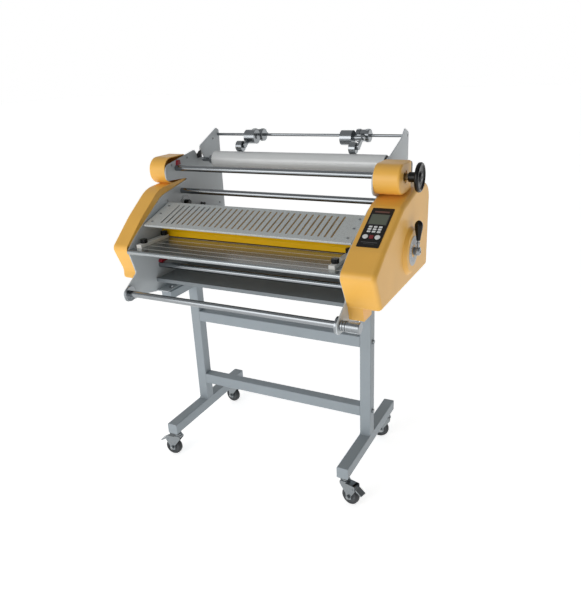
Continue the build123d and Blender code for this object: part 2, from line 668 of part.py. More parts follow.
with BuildPart() as lower_supply_shaft:
    idle_shaft(SUPPLY, SHAFT_R)
save(lower_supply_shaft, "lower_supply_shaft")

with BuildPart() as tension_shaft:
    idle_shaft(TENSION, SHAFT_R)
    bar_x(SHAFT_R, PLATE_X - 1, 480, TENSION)
save(tension_shaft, "tension_shaft")

with BuildPart() as tension_handwheel:
    x0 = 471
    with BuildSketch(Plane.XZ.offset(-TENSION[0])) as section:
        with BuildLine():
            z0 = TENSION[1]
            Polyline((x0, z0), (x0, z0 + 15), (x0 + 22, z0 + 15), (x0 + 27, z0 + 18),
                     (x0 + 29, z0 + 34), (x0 + 26, z0 + 37), (x0 + 26, z0 + 41), (x0 + 29, z0 + 44),
                     (x0 + 36, z0 + 44), (x0 + 39, z0 + 41), (x0 + 39, z0 + 37), (x0 + 36, z0 + 34),
                     (x0 + 34, z0 + 16), (x0 + 39, z0 + 12), (x0 + 39, z0), close=True)
        make_face()
    revolve(section.sketch, axis=Axis((0, *TENSION), (1, 0, 0)))
    bar_x(SHAFT_R + 0.02, x0 - 1, 480, TENSION, Mode.SUBTRACT)
save(tension_handwheel, "tension_handwheel")

with BuildPart() as rewind_shaft:
    bar_x(REWIND_R, GAP - PLATE_X, 388, REWIND)
    bar_x(PIN_R, -COVER_IN + 0.5, 0, REWIND)
    for x in (-PLATE_X + GAP, PLATE_X - 7):
        bar_x(25, x, x + 6, REWIND)
    for x in (384, 392):
        bar_x(16, x, x + 5, REWIND)
    bar_x(13, 384, 400, REWIND)
    bar_x(17, 400, 440, REWIND)
    fillet(rewind_shaft.faces().sort_by(Axis.X)[-1].edges(), radius=2)
save(rewind_shaft, "rewind_shaft")

with BuildPart() as film_roll:
    bar_x(FILM_R, FILM_LEFT, FILM_RIGHT, FILM)
    bar_x(CORE_R, FILM_LEFT - 1, FILM_RIGHT + 1, FILM, Mode.SUBTRACT)
save(film_roll, "film_roll")

with BuildPart() as film_shaft:
    bar_x(MANDREL_R, -386, 386, FILM)
    for side, end in ((-1, FILM_LEFT), (1, FILM_RIGHT)):
        bar_x(CORE_R - 0.05, end - side * 25, end, FILM)
        bar_x(27, end, end + side * 4, FILM)
        bar_x(15, end + side * 4, end + side * 22, FILM)
save(film_shaft, "film_shaft")

for label, (y, z, radius) in roller_axes.items():
    with BuildPart() as roller:
        bar_x(radius, -ROLLER_HALF, ROLLER_HALF, (y, z))
        bar_x(JOURNAL_R, -COVER_IN - 14, COVER_IN + 14, (y, z))
    save(roller, label)


# ---- slitters -----------------------------------------------------------------------------
RING_R = 12
for hand, (clamp_x, weight_x, wheel_x) in SLITTERS.items():
    with BuildPart() as collar:
        bar_x(RING_R, clamp_x - 22, clamp_x + 22, ROD)
        for side in (-1, 1):
            bar_x(22, clamp_x + side * 9, clamp_x + side * 24, ROD)
        fillet(collar.edges().filter_by(GeomType.CIRCLE).filter_by(lambda e: e.radius > 21), radius=1.2)
        bar_x(ROD_R + FIT, clamp_x - 30, clamp_x + 30, ROD, Mode.SUBTRACT)
        bar_y(3, ROD[0] + 15, ROD[0] + 30, clamp_x + 16.5, ROD[1])
        bar_y(6, ROD[0] + 25, ROD[0] + 32, clamp_x + 16.5, ROD[1])
    save(collar, f"{hand}_slitter_collar")

    with BuildPart() as arm:
        bar_x(20, clamp_x - 8.5, clamp_x + 8.5, ROD)
        web = [(ROD[0], ROD[1] - 10, 0), (ROD[0], ROD[1] + 10, 0), (WEIGHT[0], WEIGHT[1] + 10, 0),
               (WEIGHT[0], WEIGHT[1] - 10, 0)]
        extrude(outline(web, clamp_x - 7), amount=14)
        bar_x(WEIGHT_R, weight_x - 21, weight_x + 21, WEIGHT)
        bar_x(8, min(clamp_x, weight_x) - 4, max(wheel_x, weight_x) + 24, WEIGHT)
        fork_x = wheel_x + 14
        stem = [(BLADE[0] - 6, BLADE[1] - 6, 5), (BLADE[0] - 7, BLADE[1] + 8, 5),
                (WEIGHT[0], WEIGHT[1] + 7, 0), (WEIGHT[0], WEIGHT[1] - 7, 0),
                (BLADE[0] + 6, BLADE[1] - 6, 5)]
        extrude(outline(stem, fork_x), amount=6)
        bar_x(3, wheel_x - 13, fork_x + 1, BLADE)
        bar_x(5, wheel_x - 16, wheel_x - 12.5, BLADE)
        bar_x(RING_R + FIT, clamp_x - 12, clamp_x + 12, ROD, Mode.SUBTRACT)
    save(arm, f"{hand}_slitter_arm")

    with BuildPart() as blade:
        bar_x(BLADE_R, wheel_x - 12, wheel_x + 12, BLADE)
        fillet(blade.edges().filter_by(GeomType.CIRCLE), radius=1.5)
        bar_x(3 + FIT, wheel_x - 15, wheel_x + 15, BLADE, Mode.SUBTRACT)
    save(blade, f"{hand}_slitter_wheel")


# ---- paper guides -------------------------------------------------------------------------
for hand, x in GUIDES.items():
    low = (x - GUIDE_W / 2, GUIDE_FRONT, TABLE_TOP + GAP)
    high = (x + GUIDE_W / 2, GUIDE_REAR, GUIDE_TOP)
    with BuildPart() as guide:
        block(low, high)
        fillet(guide.edges().filter_by(Axis.Z) + guide.faces().sort_by(Axis.Z)[-1].edges(), radius=1.5)
        for y in KNOB_YS.values():
            bar_z(3 + FIT, GUIDE_TOP - 8, GUIDE_TOP + 1, x, y, Mode.SUBTRACT)
    save(guide, f"{hand}_paper_guide")

    for end, y in KNOB_YS.items():
        with BuildPart() as knob:
            with BuildSketch(Plane(origin=(x, y, GUIDE_TOP + GAP))) as head:
                Circle(KNOB_R - 1.2)
                with PolarLocations(KNOB_R - 2.5, 9):
                    Circle(2.5)
            extrude(head.sketch, amount=13)
            fillet(knob.faces().sort_by(Axis.Z)[-1].edges(), radius=1)
            bar_z(3, GUIDE_TOP - 7, GUIDE_TOP + 1, x, y)
        save(knob, f"{hand}_guide_knob_{end}")
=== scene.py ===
"""Roll laminator on a wheeled stand: finishes, detailed pieces, lights and camera round its CAD frame."""
import json
from math import atan2, cos, pi, radians, sin

import bmesh
import bpy
from mathutils import Matrix, Vector


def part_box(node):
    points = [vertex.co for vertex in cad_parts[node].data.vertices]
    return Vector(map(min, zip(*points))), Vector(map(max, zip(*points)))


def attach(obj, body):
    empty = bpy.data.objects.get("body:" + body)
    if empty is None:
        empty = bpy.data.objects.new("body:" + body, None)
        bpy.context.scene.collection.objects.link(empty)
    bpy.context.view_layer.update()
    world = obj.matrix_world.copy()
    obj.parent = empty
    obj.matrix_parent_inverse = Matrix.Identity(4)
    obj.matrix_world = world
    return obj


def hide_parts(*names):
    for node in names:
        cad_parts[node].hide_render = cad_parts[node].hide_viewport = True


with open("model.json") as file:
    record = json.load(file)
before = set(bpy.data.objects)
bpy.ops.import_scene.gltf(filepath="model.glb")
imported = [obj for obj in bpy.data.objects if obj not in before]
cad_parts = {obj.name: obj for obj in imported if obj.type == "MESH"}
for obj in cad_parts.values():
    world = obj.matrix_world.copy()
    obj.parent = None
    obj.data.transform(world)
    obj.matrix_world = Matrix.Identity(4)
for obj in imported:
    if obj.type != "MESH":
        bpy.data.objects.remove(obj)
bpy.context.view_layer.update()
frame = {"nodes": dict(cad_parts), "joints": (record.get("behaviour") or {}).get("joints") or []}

bl_info = {
    "name": "Roll Laminator",
    "version": (1, 0, 0),
    "blender": (4, 5, 0),
    "location": "3D View > Sidebar > Laminator",
    "description": "Builds the finishes and detailed pieces of a roll laminator",
    "category": "Object",
}

MM = 0.001
PLATE_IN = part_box("right_side_plate")[1].x - 4 * MM      # inner faces of the side plates
JOINTS = {joint["name"]: joint for joint in frame["joints"]}


def linear(code):
    """Turn an sRGB hex colour into linear red, green and blue."""
    values = [int(code[i:i + 2], 16) / 255 for i in (1, 3, 5)]
    return tuple(v / 12.92 if v <= 0.04045 else ((v + 0.055) / 1.055) ** 2.4 for v in values)


def pivot(joint):
    """The point in metres that a joint turns about."""
    return Vector(JOINTS[joint]["pos_m"])


# ---- settings ------------------------------------------------------------------------------
def colour(name, text, code):
    """A colour setting whose default is an sRGB hex colour."""
    return bpy.props.FloatVectorProperty(
        name=name, description=text, default=linear(code), subtype="COLOR", size=3, min=0, max=1)


class LaminatorColours(bpy.types.PropertyGroup):
    """Main colours of the machine."""

    cover: colour("Covers", "Moulded end covers", "#EEB54E")
    stand: colour("Stand", "Powder coat of the stand", "#939CA2")
    plate: colour("Side plates", "Powder coat of the side plates", "#BCC2C5")
    guard: colour("Guard", "Hammer paint of the slotted guard", "#C8CDCC")
    strip: colour("Finger strip", "Gloss paint of the strip under the guard", "#FFC400")
    rubber: colour("Roller rubber", "Silicone sleeves of the rollers", "#B8945E")
    floor: colour("Floor", "Plain floor", "#F5F5F4")


class LaminatorSizes(bpy.types.PropertyGroup):
    """Sizes of the detailed pieces, in metres."""

    knurl_depth: bpy.props.FloatProperty(
        name="Knurl depth", description="Depth of the grip cells on turned knobs",
        default=0.5 * MM, min=0, max=2 * MM, unit="LENGTH", precision=4)
    knurl_count: bpy.props.IntProperty(
        name="Knurl cells", description="Grip cells round one knob", default=64, min=12, max=120)
    weld: bpy.props.FloatProperty(
        name="Weld size", description="Leg length of the fillet welds on the stand",
        default=2.6 * MM, min=MM, max=6 * MM, unit="LENGTH", precision=4)
    screw: bpy.props.FloatProperty(
        name="Screw head", description="Radius of the screw heads in the plates",
        default=4.2 * MM, min=2 * MM, max=8 * MM, unit="LENGTH", precision=4)


class LaminatorStage(bpy.types.PropertyGroup):
    """Lights and camera."""

    key_power: bpy.props.FloatProperty(
        name="Key light", description="Power of the large front light", default=38, min=0, unit="POWER")
    fill_power: bpy.props.FloatProperty(
        name="Fill light", description="Power of the light on the right", default=4, min=0, unit="POWER")
    lens: bpy.props.FloatProperty(
        name="Lens", description="Focal length of the camera in millimetres", default=36.16, min=10, max=200)


# ---- shaping -------------------------------------------------------------------------------
def alone():
    """Leave edit mode, go back to selecting points and deselect everything."""
    if bpy.context.mode != "OBJECT":
        bpy.ops.object.mode_set(mode="OBJECT")
    bpy.context.tool_settings.mesh_select_mode = (True, False, False)
    bpy.ops.object.select_all(action="DESELECT")


def pick(piece):
    """Make a piece the only selected and active object."""
    alone()
    piece.select_set(True)
    bpy.context.view_layer.objects.active = piece


def close(piece):
    """Merge doubled points, turn the faces outwards and put the object's origin at the world's."""
    pick(piece)
    bpy.ops.object.mode_set(mode="EDIT")
    bpy.ops.mesh.select_all(action="SELECT")
    bpy.ops.mesh.remove_doubles(threshold=1e-6)
    bpy.ops.mesh.normals_make_consistent(inside=False)
    bpy.ops.object.mode_set(mode="OBJECT")
    bpy.ops.object.transform_apply(location=True, rotation=True, scale=True)
    return piece


def turned(name, axis, rings, sides=48, bore=False):
    """A piece turned round X through (y, z), drawn out ring by ring, each (x, radius) in millimetres."""
    alone()
    x, radius = rings[0]
    bpy.ops.mesh.primitive_circle_add(
        vertices=sides, radius=radius * MM, fill_type="NOTHING" if bore else "NGON",
        location=(x * MM, *axis), rotation=(0, pi / 2, 0))
    piece = bpy.context.object
    piece.name = name
    bpy.ops.object.mode_set(mode="EDIT")
    bpy.ops.mesh.select_all(action="SELECT")
    for along, size in rings[1:]:
        bpy.ops.mesh.extrude_region_move(TRANSFORM_OT_translate={"value": ((along - x) * MM, 0, 0)})
        grow = size / radius
        bpy.ops.transform.resize(value=(1, grow, grow), center_override=(along * MM, *axis))
        x, radius = along, size
    return close(piece)


def brick(name, low, high, round_mm=0.6, cuts=0):
    """A rounded block between two corners in millimetres, cut across its longest side if asked."""
    alone()
    middle = [(a + b) / 2 * MM for a, b in zip(low, high)]
    bpy.ops.mesh.primitive_cube_add(size=1, location=middle)
    piece = bpy.context.object
    piece.name = name
    bpy.ops.transform.resize(value=[(b - a) * MM for a, b in zip(low, high)], center_override=middle)
    close(piece)
    if cuts:
        bpy.ops.object.mode_set(mode="EDIT")
        bpy.ops.mesh.select_all(action="SELECT")
        bpy.ops.mesh.subdivide(number_cuts=cuts)
        bpy.ops.object.mode_set(mode="OBJECT")
    return softened(piece, round_mm)


def softened(piece, round_mm, segments=3):
    """Round the sharp edges of a piece."""
    pick(piece)
    bevel = piece.modifiers.new("round", "BEVEL")
    bevel.width = round_mm * MM
    bevel.segments = segments
    bevel.limit_method = "ANGLE"
    bevel.angle_limit = radians(35)
    bpy.ops.object.modifier_apply(modifier=bevel.name)
    return piece


def with_faces(piece, test):
    """Enter edit mode with only the faces selected whose middle and normal pass a test."""
    pick(piece)
    bpy.ops.object.mode_set(mode="EDIT")
    bpy.ops.mesh.select_mode(type="FACE")
    bpy.ops.mesh.select_all(action="DESELECT")
    mesh = bmesh.from_edit_mesh(piece.data)
    for face in mesh.faces:
        face.select = bool(test(face.calc_center_median(), face.normal))
    mesh.select_flush(True)
    bmesh.update_edit_mesh(piece.data)


def placed(piece, matrix):
    """Move a finished mesh; the object stays at the origin."""
    piece.data.transform(matrix)
    return piece


def copied(piece, name, matrix):
    """A copy with its own mesh, moved."""
    pick(piece)
    bpy.ops.object.duplicate(linked=False)
    twin = bpy.context.object
    twin.name = name
    return placed(twin, matrix)


def joined(name, pieces):
    """One object made of several."""
    alone()
    for piece in pieces:
        piece.select_set(True)
    bpy.context.view_layer.objects.active = pieces[0]
    bpy.ops.object.join()
    pieces[0].name = name
    return pieces[0]


def done(piece, body, slot, finish, *replaced, angle=32):
    """Shade a piece, give it its finish and let it ride on a body."""
    pick(piece)
    bpy.ops.object.shade_smooth_by_angle(angle=radians(angle))
    piece.data.name = piece.name
    piece.data.materials.clear()
    piece.data.materials.append(bpy.data.materials[finish])
    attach(piece, body)
    if replaced:
        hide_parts(*replaced)
    return piece


def towards(point, direction):
    """A matrix that takes a piece turned along X at the origin to a point, facing a direction."""
    turn = Vector((1, 0, 0)).rotation_difference(Vector(direction)).to_matrix().to_4x4()
    return Matrix.Translation(Vector(point)) @ turn


# ---- finishes ------------------------------------------------------------------------------
def add(tree, kind, values=None, links=None, **settings):
    """Add one node: settings on the node, values on its sockets, links into its sockets."""
    made = tree.nodes.new(kind)
    for key, value in settings.items():
        setattr(made, key, value)
    for key, value in (values or {}).items():
        made.inputs[key].default_value = value
    for key, source in (links or {}).items():
        tree.links.new(source, made.inputs[key])
    return made


def begin(name, tint, roughness, **sockets):
    """A new material with its constants on the shader; returns its tree, shader and Object coordinates."""
    material = bpy.data.materials.new(name)
    material.use_nodes = True
    tree = material.node_tree
    shader = tree.nodes["Principled BSDF"]
    shader.inputs["Base Color"].default_value = (*tint, 1)
    shader.inputs["Roughness"].default_value = roughness
    for key, value in sockets.items():
        shader.inputs[key.replace("_", " ")].default_value = value
    return tree, shader, add(tree, "ShaderNodeTexCoord").outputs["Object"]


def shade(tint, amount):
    """A colour made lighter or darker."""
    return (*[min(1, v * amount) for v in tint], 1)


def coated(name, tint, roughness, grain_mm, relief_mm, drift=0.06, **sockets):
    """A moulded or painted surface: a fine grain in relief and gloss, and a slow drift of colour."""
    tree, shader, spot = begin(name, tint, roughness, **sockets)
    grain = add(tree, "ShaderNodeTexNoise", {"Scale": 1 / (grain_mm * MM), "Detail": 3.0}, {"Vector": spot})
    cloud = add(tree, "ShaderNodeTexNoise", {"Scale": 9.0, "Detail": 2.0}, {"Vector": spot})
    ramp = add(tree, "ShaderNodeValToRGB", links={"Fac": cloud.outputs["Fac"]})
    ramp.color_ramp.elements[0].position = 0.3
    ramp.color_ramp.elements[0].color = shade(tint, 1 - drift)
    ramp.color_ramp.elements[1].position = 0.7
    ramp.color_ramp.elements[1].color = shade(tint, 1 + drift)
    tree.links.new(ramp.outputs["Color"], shader.inputs["Base Color"])
    gloss = add(tree, "ShaderNodeMapRange", {"To Min": roughness * 0.85, "To Max": min(1, roughness * 1.15)},
                {"Value": grain.outputs["Fac"]})
    tree.links.new(gloss.outputs["Result"], shader.inputs["Roughness"])
    bump = add(tree, "ShaderNodeBump", {"Strength": 0.5, "Distance": relief_mm * MM},
               {"Height": grain.outputs["Fac"]})
    tree.links.new(bump.outputs["Normal"], shader.inputs["Normal"])
    return tree, shader, spot, ramp.outputs["Color"]


def machined(name, tint, roughness, line_mm, along=(0.02, 1, 1), relief_mm=0.01):
    """Bare or plated metal with fine lines of turning, drawing or brushing, stretched where along is small."""
    tree, shader, spot = begin(name, tint, roughness, Metallic=1.0)
    lines = add(tree, "ShaderNodeMapping", {"Scale": along}, {"Vector": spot})
    grain = add(tree, "ShaderNodeTexNoise", {"Scale": 1 / (line_mm * MM), "Detail": 2.0},
                {"Vector": lines.outputs["Vector"]})
    haze = add(tree, "ShaderNodeTexNoise", {"Scale": 14.0, "Detail": 2.0}, {"Vector": spot})
    both = add(tree, "ShaderNodeMath", links={0: grain.outputs["Fac"], 1: haze.outputs["Fac"]},
               operation="MULTIPLY")
    gloss = add(tree, "ShaderNodeMapRange",
                {"From Min": 0.12, "From Max": 0.4, "To Min": roughness * 0.7, "To Max": roughness * 1.35},
                {"Value": both.outputs["Value"]})
    tree.links.new(gloss.outputs["Result"], shader.inputs["Roughness"])
    ramp = add(tree, "ShaderNodeValToRGB", links={"Fac": haze.outputs["Fac"]})
    ramp.color_ramp.elements[0].color = shade(tint, 0.9)
    ramp.color_ramp.elements[1].color = shade(tint, 1.05)
    tree.links.new(ramp.outputs["Color"], shader.inputs["Base Color"])
    bump = add(tree, "ShaderNodeBump", {"Strength": 0.35, "Distance": relief_mm * MM},
               {"Height": grain.outputs["Fac"]})
    tree.links.new(bump.outputs["Normal"], shader.inputs["Normal"])


def hammered(name, tint):
    """Hammer paint: shallow round cells a few millimetres wide, lighter on their backs."""
    tree, shader, spot = begin(name, tint, 0.45, Metallic=0.1)
    cells = add(tree, "ShaderNodeTexVoronoi", {"Scale": 1 / (2.6 * MM)}, {"Vector": spot},
                feature="SMOOTH_F1")
    ramp = add(tree, "ShaderNodeValToRGB", links={"Fac": cells.outputs["Distance"]})
    ramp.color_ramp.elements[0].color = shade(tint, 1.14)
    ramp.color_ramp.elements[1].color = shade(tint, 0.74)
    ramp.color_ramp.elements[1].position = 0.8
    tree.links.new(ramp.outputs["Color"], shader.inputs["Base Color"])
    gloss = add(tree, "ShaderNodeMapRange", {"To Min": 0.34, "To Max": 0.55},
                {"Value": cells.outputs["Distance"]})
    tree.links.new(gloss.outputs["Result"], shader.inputs["Roughness"])
    bump = add(tree, "ShaderNodeBump", {"Strength": 0.6, "Distance": 0.15 * MM},
               {"Height": cells.outputs["Distance"]}, invert=True)
    tree.links.new(bump.outputs["Normal"], shader.inputs["Normal"])


def printed(tree, shader, ground, mask, ink):
    """Lay an ink over a ground colour where a mask is 1."""
    mix = add(tree, "ShaderNodeMix", data_type="RGBA")
    mix.inputs[7].default_value = (*ink, 1)
    tree.links.new(mask, mix.inputs["Factor"])
    tree.links.new(ground, mix.inputs[6])
    tree.links.new(mix.outputs[2], shader.inputs["Base Color"])
    return mix.outputs[2]


def dial_print(name, tint, plate, centres, ticks, inner_mm, outer_mm):
    """Dials with a ring of dark ticks round each centre: grey on the right, plate paint on the left."""
    tree, shader, spot, ground = coated(name, tint, 0.45, 0.8, 0.01)
    place = add(tree, "ShaderNodeSeparateXYZ", links={"Vector": spot})
    left = add(tree, "ShaderNodeMath", {1: 0}, {0: place.outputs["X"]}, operation="LESS_THAN")
    ground = printed(tree, shader, ground, left.outputs["Value"], plate)
    for centre in centres:
        away = add(tree, "ShaderNodeVectorMath", {1: (0, centre.y, centre.z)}, {0: spot},
                   operation="SUBTRACT")
        flat = add(tree, "ShaderNodeVectorMath", {1: (0, 1, 1)}, {0: away.outputs["Vector"]},
                   operation="MULTIPLY")
        far = add(tree, "ShaderNodeVectorMath", links={0: flat.outputs["Vector"]}, operation="LENGTH")
        parts = add(tree, "ShaderNodeSeparateXYZ", links={"Vector": away.outputs["Vector"]})
        angle = add(tree, "ShaderNodeMath", links={0: parts.outputs["Y"], 1: parts.outputs["Z"]},
                    operation="ARCTAN2")
        turns = add(tree, "ShaderNodeMath", {1: ticks / (2 * pi)}, {0: angle.outputs["Value"]},
                    operation="MULTIPLY")
        wave = add(tree, "ShaderNodeMath", {1: 0.5}, {0: turns.outputs["Value"]}, operation="PINGPONG")
        tick = add(tree, "ShaderNodeMath", {1: 0.09}, {0: wave.outputs["Value"]}, operation="LESS_THAN")
        middle = (inner_mm + outer_mm) / 2 * MM
        ring = add(tree, "ShaderNodeMath", {1: middle, 2: (outer_mm - inner_mm) / 2 * MM},
                   {0: far.outputs["Value"]}, operation="COMPARE")
        mark = add(tree, "ShaderNodeMath", links={0: tick.outputs["Value"], 1: ring.outputs["Value"]},
                   operation="MULTIPLY")
        ground = printed(tree, shader, ground, mark.outputs["Value"], linear("#2B2C2E"))


def panel_print(name, centre, slope):
    """Black polyester overlay, satin: a dim title bar, a frame round the display, lines under the keys."""
    tree, shader, spot, ground = coated(name, linear("#110F0E"), 0.4, 0.5, 0.006, Specular_IOR_Level=0.3)
    away = add(tree, "ShaderNodeVectorMath", {1: centre}, {0: spot}, operation="SUBTRACT")
    parts = add(tree, "ShaderNodeSeparateXYZ", links={"Vector": away.outputs["Vector"]})
    up = add(tree, "ShaderNodeVectorMath", {1: slope}, {0: away.outputs["Vector"]}, operation="DOT_PRODUCT")
    areas = [
        (0, 66, 22, 3.2, "#6B4A44"), (0, 33, 28, 22.5, "#3A3B3D"), (0, -62, 24, 1.0, "#5A5B5D"),
        (0, -68, 16, 0.7, "#4A4B4D"),
    ]
    for across, along, half_wide, half_long, ink in areas:
        wide = add(tree, "ShaderNodeMath", {1: across * MM, 2: half_wide * MM}, {0: parts.outputs["X"]},
                   operation="COMPARE")
        long = add(tree, "ShaderNodeMath", {1: along * MM, 2: half_long * MM}, {0: up.outputs["Value"]},
                   operation="COMPARE")
        both = add(tree, "ShaderNodeMath", links={0: wide.outputs["Value"], 1: long.outputs["Value"]},
                   operation="MULTIPLY")
        ground = printed(tree, shader, ground, both.outputs["Value"], linear(ink))


def ribbed(name, tint, first, pitch_mm):
    """Extruded aluminium: drawn lines along X, and narrow ribs at a pitch across Y painted bright and
    non-metallic as a painted highlight.
    """
    tree, shader, spot = begin(name, tint, 0.24, Metallic=0.85)
    lines = add(tree, "ShaderNodeMapping", {"Scale": (0.01, 1, 1)}, {"Vector": spot})
    grain = add(tree, "ShaderNodeTexNoise", {"Scale": 1 / (1.2 * MM), "Detail": 2.0},
                {"Vector": lines.outputs["Vector"]})
    parts = add(tree, "ShaderNodeSeparateXYZ", links={"Vector": spot})
    start = add(tree, "ShaderNodeMath", {1: first}, {0: parts.outputs["Y"]}, operation="SUBTRACT")
    wave = add(tree, "ShaderNodeMath", {1: pitch_mm / 2 * MM}, {0: start.outputs["Value"]},
               operation="PINGPONG")
    # Bands at the rib pitch are painted near-white and non-metallic: a painted highlight along the ribs.
    rib_highlight = add(tree, "ShaderNodeMath", {1: 1.1 * MM}, {0: wave.outputs["Value"]}, operation="LESS_THAN")
    ramp = add(tree, "ShaderNodeValToRGB", links={"Fac": grain.outputs["Fac"]})
    ramp.color_ramp.elements[0].color = shade(tint, 0.88)
    ramp.color_ramp.elements[1].color = shade(tint, 1.08)
    printed(tree, shader, ramp.outputs["Color"], rib_highlight.outputs["Value"], linear("#F2F1EC"))
    highlight_metallic_off = add(tree, "ShaderNodeMapRange", {"To Min": 0.85, "To Max": 0.0}, {"Value": rib_highlight.outputs["Value"]})
    tree.links.new(highlight_metallic_off.outputs["Result"], shader.inputs["Metallic"])
    bump = add(tree, "ShaderNodeBump", {"Strength": 0.3, "Distance": 0.02 * MM},
               {"Height": grain.outputs["Fac"]})
    tree.links.new(bump.outputs["Normal"], shader.inputs["Normal"])


def make_finishes(colours):
    """Make every material, named for what it is."""
    # Injection-moulded ABS, amber: satin, with a fine spark-eroded grain.
    coated("amber_abs_moulded", colours.cover, 0.4, 0.7, 0.02, 0.03, Coat_Weight=0.12, Coat_Roughness=0.35)
    # Polyester powder coat: low sheen with orange peel about 2 mm across.
    coated("powder_coat_stand", colours.stand, 0.48, 2.0, 0.05, 0.03)
    coated("powder_coat_plate", colours.plate, 0.46, 2.0, 0.04, 0.03)
    coated("powder_coat_dark", linear("#7C8387"), 0.5, 2.0, 0.04, 0.06)
    coated("motor_paint", linear("#3D4144"), 0.45, 1.5, 0.03, 0.06)
    hammered("hammer_paint_guard", colours.guard)
    # Two-pack paint on steel: bright and saturated, with a moderate gloss.
    coated("gloss_paint_strip", colours.strip, 0.3, 1.5, 0.01, 0.03, Specular_IOR_Level=0.25)
    # Hard chrome on ground steel bar: mirror-like, faint rings from grinding.
    machined("chrome_ground_bar", linear("#8E9295"), 0.15, 1.0, (1, 0.05, 0.05), 0.004)
    machined("chrome_turned", linear("#95999C"), 0.2, 0.9, (1, 0.06, 0.06), 0.01)
    # Zinc-plated pressed steel: duller, with a cloudy spangle.
    machined("zinc_pressed", linear("#8C9194"), 0.33, 1.6, (1, 1, 1), 0.02)
    machined("steel_screw", linear("#A4A8AA"), 0.3, 0.5, (1, 1, 1), 0.01)
    # Polyurethane tread on a nylon core: matt and slightly scuffed.
    coated("polyurethane_tread", linear("#35373A"), 0.62, 1.2, 0.05, 0.14)
    coated("nylon_core", linear("#4A4E51"), 0.5, 1.0, 0.03, 0.08)
    # High-temperature silicone rubber: tan, ground to a soft matt.
    coated("silicone_ground", colours.rubber, 0.58, 1.0, 0.03, 0.06)
    # Phenolic moulding, polished: black with a small sharp highlight.
    coated("phenolic_gloss", linear("#08090A"), 0.22, 1.2, 0.008, 0.1, Specular_IOR_Level=0.28)
    coated("nylon_black", linear("#1B1C1E"), 0.4, 0.8, 0.02, 0.1)
    # Polyester film wound tight: silvery white, a soft satin gloss.
    coated("film_wound", linear("#D9DBDB"), 0.3, 1.6, 0.01, 0.02, Metallic=0.1)
    # Anodised extruded aluminium of the feed table, with a painted highlight along each rib.
    ribbed("aluminium_extruded", linear("#A3A8AA"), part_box("feed_table")[0].y + 35.5 * MM, 38)
    coated("acetal_machined", linear("#E4E3DD"), 0.38, 1.0, 0.01, 0.03)
    # Silk-screened polyester overlay of the control panel.
    low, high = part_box("control_panel")
    middle = (low + high) / 2
    run = Vector((0, high.y - low.y, high.z - low.z)).normalized()
    panel_print("polyester_overlay", tuple(middle), tuple(run))
    # Liquid crystal behind hard-coated acrylic: grey-green under a sharp reflection.
    coated("display_acrylic", linear("#565D4E"), 0.14, 3.0, 0.002, 0.08, Coat_Weight=0.3)
    coated("key_abs_white", linear("#DCDEDD"), 0.42, 0.5, 0.01, 0.03)
    coated("key_abs_red", linear("#7A1620"), 0.4, 0.5, 0.01, 0.06)
    coated("latch_nylon_red", linear("#8A1626"), 0.32, 0.8, 0.01, 0.08)
    dial_print("dial_printed", linear("#BDBFC0"), colours.plate,
               [pivot("pressure_lever_turn"), pivot("gap_knob_turn")], 24, 22, 36)
    # Sand-cast iron under grey paint: coarse grain.
    coated("cast_iron_painted", linear("#5F6568"), 0.55, 1.8, 0.12, 0.08)
    coated("thermoset_black", linear("#18191B"), 0.45, 0.7, 0.02, 0.08)


CAD_FINISHES = {
    "powder_coat_stand": ["leg_frames", "crossbars"],
    "powder_coat_plate": ["left_side_plate", "right_side_plate", "rear_panel"],
    "powder_coat_dark": ["bottom_tray"],
    "zinc_pressed": ["stand_fasteners"] + [f"caster_fork_{n}" for n in ("fl", "fr", "rl", "rr")]
                    + ["caster_pedal_fl", "caster_pedal_fr"],
    "amber_abs_moulded": ["left_cover", "right_cover", "boss_covers"],
    "aluminium_extruded": ["feed_table"],
    "chrome_ground_bar": ["slitter_rod", "idler_bar", "lower_supply_shaft", "tension_shaft"],
    "chrome_turned": ["rewind_shaft", "film_shaft"]
                     + [f"{h}_slitter_{p}" for h in ("left", "right") for p in ("collar", "arm", "wheel")],
    "motor_paint": ["drive_motor"],
    "cast_iron_painted": ["bearing_blocks"],
    "polyester_overlay": ["control_panel"],
    "display_acrylic": ["display_window"],
    "key_abs_white": ["keypad", "reverse_key", "forward_key"],
    "key_abs_red": ["stop_key"],
    "latch_nylon_red": ["shaft_latches"],
    "thermoset_black": ["power_inlet"],
    "dial_printed": ["dials"],
    "phenolic_gloss": ["pressure_lever", "gap_knob", "tension_handwheel"]
                      + [f"{h}_guide_knob_{e}" for h in ("left", "right") for e in ("front", "rear")],
    "hammer_paint_guard": ["slotted_guard"],
    "gloss_paint_strip": ["finger_strip"],
    "film_wound": ["film_roll"],
    "silicone_ground": [f"{a}_{k}_roller" for a in ("lower", "upper") for k in ("laminating", "pull")],
    "polyurethane_tread": [f"caster_wheel_{n}" for n in ("fl", "fr", "rl", "rr")],
    "acetal_machined": ["left_paper_guide", "right_paper_guide"],
}


class LaminatorFinishes(bpy.types.Operator):
    """Make the materials and give each CAD piece its own"""

    bl_idname = "laminator.finishes"
    bl_label = "Finishes"

    def execute(self, context):
        make_finishes(context.scene.laminator_colours)
        for finish, nodes in CAD_FINISHES.items():
            for node in nodes:
                for slot in frame["nodes"][node].material_slots:
                    slot.material = bpy.data.materials[finish]
        return {"FINISHED"}


